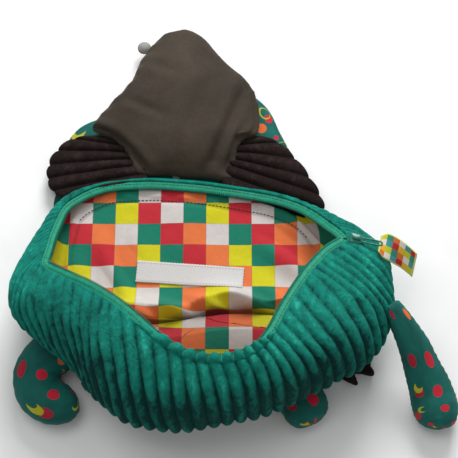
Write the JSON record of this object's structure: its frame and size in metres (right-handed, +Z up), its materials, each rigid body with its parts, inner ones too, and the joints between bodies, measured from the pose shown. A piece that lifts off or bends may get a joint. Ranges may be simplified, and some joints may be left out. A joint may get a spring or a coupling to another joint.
{
  "type": "kids animal backpack",
  "caption": "Small plush animal backpack lying on its back, zip mouth open on a checked lining, head flap thrown back over the straps, with ears, arms and legs.",
  "frame": {"origin": "middle of the footprint on the surface that the bag lies on", "axes": "+X to the wearer's side with the zip's open end, +Y from the bag's bottom towards its head flap, +Z up from the surface"},
  "size_m": [0.2986, 0.3144, 0.095],
  "materials": {
    "plush": "ribbed short-pile plush",
    "lining": "printed cotton checks",
    "zip_tape": "woven polyester tape with a nylon coil",
    "zip_metal": "painted to match the tape",
    "pull_tab": "printed cotton, folded and sewn",
    "label": "white coated cloth with pinked edges",
    "velour": "soft short velour",
    "ear_cloth": "ribbed short-pile plush",
    "printed_cotton": "cotton printed with dots and crescents",
    "webbing": "woven webbing",
    "nostril": "felt dome with a dark stitched ring"
  },
  "bodies": {
    "root": {"shell": "plush", "lining": "lining", "zip_tape_front": "zip_tape", "zip_tape_back": "zip_tape", "zip_slider": "zip_metal", "zip_puller": "zip_metal", "pull_tab": "pull_tab", "name_label": "label", "head_flap": "velour", "ear_left": "ear_cloth", "ear_right": "ear_cloth", "strap_left": "printed_cotton", "strap_right": "printed_cotton", "webbing_left": "webbing", "webbing_right": "webbing", "arm_left": "printed_cotton", "arm_right": "printed_cotton", "leg_left": "printed_cotton", "leg_right": "printed_cotton", "tail_tuft": "ear_cloth", "nostril_left": "nostril", "nostril_right": "nostril"}
  },
  "joints": []
}
